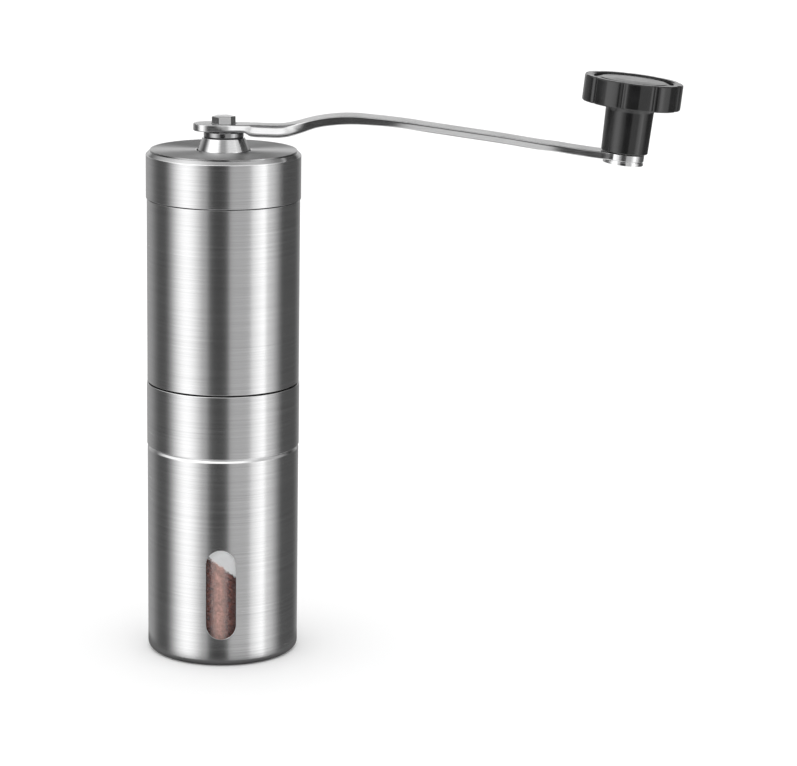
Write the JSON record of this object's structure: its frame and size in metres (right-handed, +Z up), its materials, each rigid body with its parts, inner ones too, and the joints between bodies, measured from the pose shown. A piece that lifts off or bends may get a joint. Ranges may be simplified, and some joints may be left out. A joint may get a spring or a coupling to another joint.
{
  "type": "hand crank coffee grinder",
  "caption": "Slim cylindrical hand coffee grinder in brushed steel with a cup window, a removable lid and crank, and adjustable conical burrs.",
  "frame": {"origin": "middle of the underside of the base, on the body's axis", "axes": "+Z up along the shaft, +X along the crank arm towards the knob, -Y the side of the catch cup's window"},
  "size_m": [0.1737, 0.0506, 0.1946],
  "materials": {
    "brushed_steel": "fine circumferential brushing",
    "bright_steel": "polished",
    "black_plastic": "moulded, glossy",
    "clear_plastic": "clear, glossy",
    "ceramic": "fired, satin",
    "white_nylon": "moulded, satin",
    "brass": "machined",
    "silicone": "matt"
  },
  "bodies": {
    "catch_cup": {"lower_shell": "brushed_steel", "base_cap": "black_plastic", "grounds_cup": "clear_plastic", "window_lens": "clear_plastic", "cup_seal": "silicone"},
    "housing": {"middle_band": "brushed_steel", "hopper_shell": "brushed_steel", "hopper_liner": "black_plastic", "burr_housing": "black_plastic", "spigot_ring": "silicone", "burr_retainer": "black_plastic", "retainer_screw_1": "bright_steel", "retainer_screw_2": "bright_steel", "retainer_screw_3": "bright_steel", "shaft_bridge": "black_plastic", "lower_bush": "white_nylon", "upper_bush": "white_nylon", "outer_burr": "ceramic"},
    "drive": {"drive_shaft": "bright_steel", "hub_sleeve": "bright_steel", "hub_washer": "bright_steel", "thrust_washer": "bright_steel", "circlip": "bright_steel"},
    "burr": {"inner_burr": "ceramic", "burr_carrier": "black_plastic", "burr_spring": "bright_steel"},
    "adjuster": {"adjuster_wheel": "black_plastic", "adjuster_nut": "brass", "detent_washer": "bright_steel"},
    "crank": {"crank_arm": "bright_steel", "knob_pin": "bright_steel", "pin_washer": "white_nylon"},
    "knob": {"knob_grip": "black_plastic", "knob_cap": "black_plastic"},
    "lid": {"lid_shell": "brushed_steel", "lid_liner": "black_plastic"}
  },
  "joints": [
    {"name": "cup_release", "type": "slide", "parent": "catch_cup", "child": "housing", "axis": [0, 0, 1], "range_m": [0, 0.03]},
    {"name": "crank_turn", "type": "hinge", "parent": "housing", "child": "drive", "pos_m": [0, 0, 0.096], "axis": [0, 0, 1], "continuous": true},
    {"name": "burr_shift", "type": "slide", "parent": "drive", "child": "burr", "axis": [0, 0, 1], "range_m": [-0.0008, 0], "deforming": ["burr_spring"]},
    {"name": "grind_setting", "type": "hinge", "parent": "burr", "child": "adjuster", "pos_m": [0, 0, 0.064], "axis": [0, 0, 1], "range_deg": [-360, 0]},
    {"name": "crank_lift", "type": "slide", "parent": "drive", "child": "crank", "axis": [0, 0, 1], "range_m": [0, 0.04]},
    {"name": "knob_spin", "type": "hinge", "parent": "crank", "child": "knob", "pos_m": [0.13, 0, 0.1679], "axis": [0.1011, 0, 0.9949], "continuous": true},
    {"name": "lid_lift", "type": "slide", "parent": "housing", "child": "lid", "axis": [0, 0, 1], "range_m": [0, 0.02]}
  ],
  "couplings": [
    {"joint": "lid_lift", "follows": "crank_lift", "ratio": 0.5},
    {"joint": "burr_shift", "follows": "grind_setting", "m_per_rad": 0.00012732}
  ]
}
